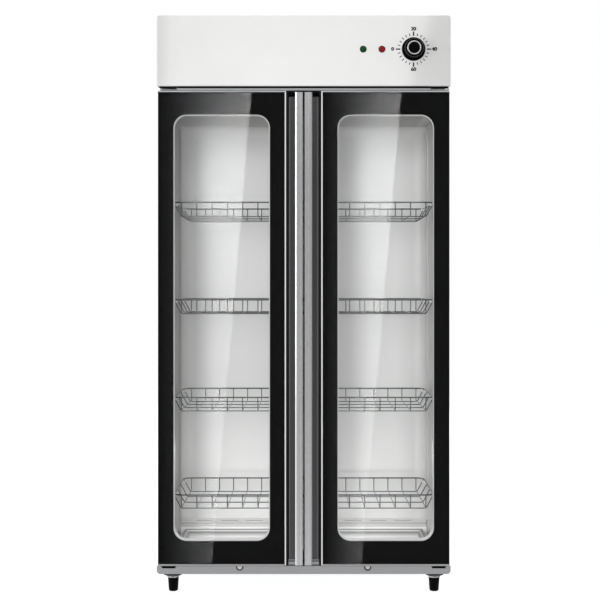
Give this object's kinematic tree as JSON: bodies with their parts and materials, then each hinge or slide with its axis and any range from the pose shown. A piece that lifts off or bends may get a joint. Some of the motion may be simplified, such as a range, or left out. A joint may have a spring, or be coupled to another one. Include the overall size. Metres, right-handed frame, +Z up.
{
  "type": "dish sterilizer cabinet",
  "caption": "Tall free-standing dish sterilizer cabinet with glass doors on side hinges, full-height pulls, wire baskets on wall hooks, a timer dial and levelling feet.",
  "frame": {"origin": "on the floor under the middle of the whole object's box, knob included", "axes": "+Z up, doors face -Y, +X to the right of someone facing the doors"},
  "size_m": [0.85, 0.476, 1.68],
  "materials": {
    "white_enamel": "satin white stoved enamel",
    "grey_enamel": "satin grey enamel",
    "galvanised_steel": "spangled zinc",
    "liner_steel": "fine brushed stainless steel",
    "zinc_hardware": "bright zinc",
    "glass": "clear tempered glass",
    "black_print": "black ceramic print fired on glass",
    "door_enamel": "white moulded inner door skin, foam filled",
    "aluminium": "satin anodised, fine lines",
    "grey_rubber": "soft grey seal",
    "nylon": "natural nylon",
    "black_plastic": "moulded black plastic",
    "chrome": "bright chrome plate",
    "green_lens": "green lamp lens",
    "red_lens": "red lamp lens",
    "ceramic": "unglazed steatite",
    "mineral_wool": "mineral wool board",
    "cast_alloy": "die-cast, finned"
  },
  "bodies": {
    "cabinet": {"right_side_panel": "white_enamel", "left_side_panel": "white_enamel", "top_cover": "white_enamel", "back_panel": "galvanised_steel", "base_pan": "galvanised_steel", "insulation": "mineral_wool", "control_tray": "galvanised_steel", "face_frame": "grey_enamel", "header_panel": "white_enamel", "top_rail": "grey_enamel", "sill": "grey_enamel", "sill_buffers": "nylon", "hinge_brackets": "zinc_hardware", "hinge_pins": "zinc_hardware", "liner_sides": "liner_steel", "liner_back": "liner_steel", "liner_ceiling": "liner_steel", "liner_floor": "liner_steel", "rack_posts": "galvanised_steel", "rack_hooks": "liner_steel", "heater_tubes": "glass", "heater_sockets": "ceramic", "heater_cover": "liner_steel", "timer_body": "black_plastic", "green_lamp": "green_lens", "red_lamp": "red_lens", "lamp_holders": "black_plastic", "terminal_block": "black_plastic", "ozone_generator": "cast_alloy", "thermostat": "black_plastic", "door_sensors": "black_plastic", "cable_gland": "black_plastic", "foot_sockets": "galvanised_steel", "foot_studs": "zinc_hardware"},
    "left_door": {"left_door_glass": "glass", "left_door_print": "black_print", "left_door_inner_frame": "door_enamel", "left_door_handle": "aluminium", "left_door_end_rails": "aluminium", "left_door_seal": "grey_rubber", "left_door_hinge_bushes": "nylon"},
    "right_door": {"right_door_glass": "glass", "right_door_print": "black_print", "right_door_inner_frame": "door_enamel", "right_door_handle": "aluminium", "right_door_end_rails": "aluminium", "right_door_seal": "grey_rubber", "right_door_hinge_bushes": "nylon"},
    "timer_dial": {"timer_knob": "black_plastic", "knob_ring": "chrome", "timer_shaft": "zinc_hardware"},
    "tray": {"drip_tray": "liner_steel"},
    "basket_1": {"rack_1": "chrome"},
    "basket_2": {"rack_2": "chrome"},
    "basket_3": {"rack_3": "chrome"},
    "basket_4": {"rack_4": "chrome"},
    "front_left_foot": {"foot_front_left": "black_plastic"},
    "front_right_foot": {"foot_front_right": "black_plastic"},
    "rear_left_foot": {"foot_rear_left": "black_plastic"},
    "rear_right_foot": {"foot_rear_right": "black_plastic"}
  },
  "joints": [
    {"name": "left_door_hinge", "type": "hinge", "parent": "cabinet", "child": "left_door", "pos_m": [-0.416, -0.197, 0.775], "axis": [0, 0, -1], "range_deg": [0, 110]},
    {"name": "right_door_hinge", "type": "hinge", "parent": "cabinet", "child": "right_door", "pos_m": [0.416, -0.197, 0.775], "axis": [0, 0, 1], "range_deg": [0, 110]},
    {"name": "timer_turn", "type": "hinge", "parent": "cabinet", "child": "timer_dial", "pos_m": [0.3175, -0.225, 1.582], "axis": [0, 1, 0], "range_deg": [0, 270]},
    {"name": "tray_lift", "type": "slide", "parent": "cabinet", "child": "tray", "axis": [0, 0, 1], "range_m": [0, 0.02]},
    {"name": "basket_1_lift", "type": "slide", "parent": "cabinet", "child": "basket_1", "axis": [0, 0, 1], "range_m": [0, 0.03]},
    {"name": "basket_2_lift", "type": "slide", "parent": "cabinet", "child": "basket_2", "axis": [0, 0, 1], "range_m": [0, 0.03]},
    {"name": "basket_3_lift", "type": "slide", "parent": "cabinet", "child": "basket_3", "axis": [0, 0, 1], "range_m": [0, 0.03]},
    {"name": "basket_4_lift", "type": "slide", "parent": "cabinet", "child": "basket_4", "axis": [0, 0, 1], "range_m": [0, 0.03]},
    {"name": "front_left_foot_turn", "type": "hinge", "parent": "cabinet", "child": "front_left_foot", "pos_m": [-0.384, -0.15, 0.02], "axis": [0, 0, 1], "continuous": true},
    {"name": "front_right_foot_turn", "type": "hinge", "parent": "cabinet", "child": "front_right_foot", "pos_m": [0.384, -0.15, 0.02], "axis": [0, 0, 1], "continuous": true},
    {"name": "rear_left_foot_turn", "type": "hinge", "parent": "cabinet", "child": "rear_left_foot", "pos_m": [-0.384, 0.193, 0.02], "axis": [0, 0, 1], "continuous": true},
    {"name": "rear_right_foot_turn", "type": "hinge", "parent": "cabinet", "child": "rear_right_foot", "pos_m": [0.384, 0.193, 0.02], "axis": [0, 0, 1], "continuous": true}
  ]
}
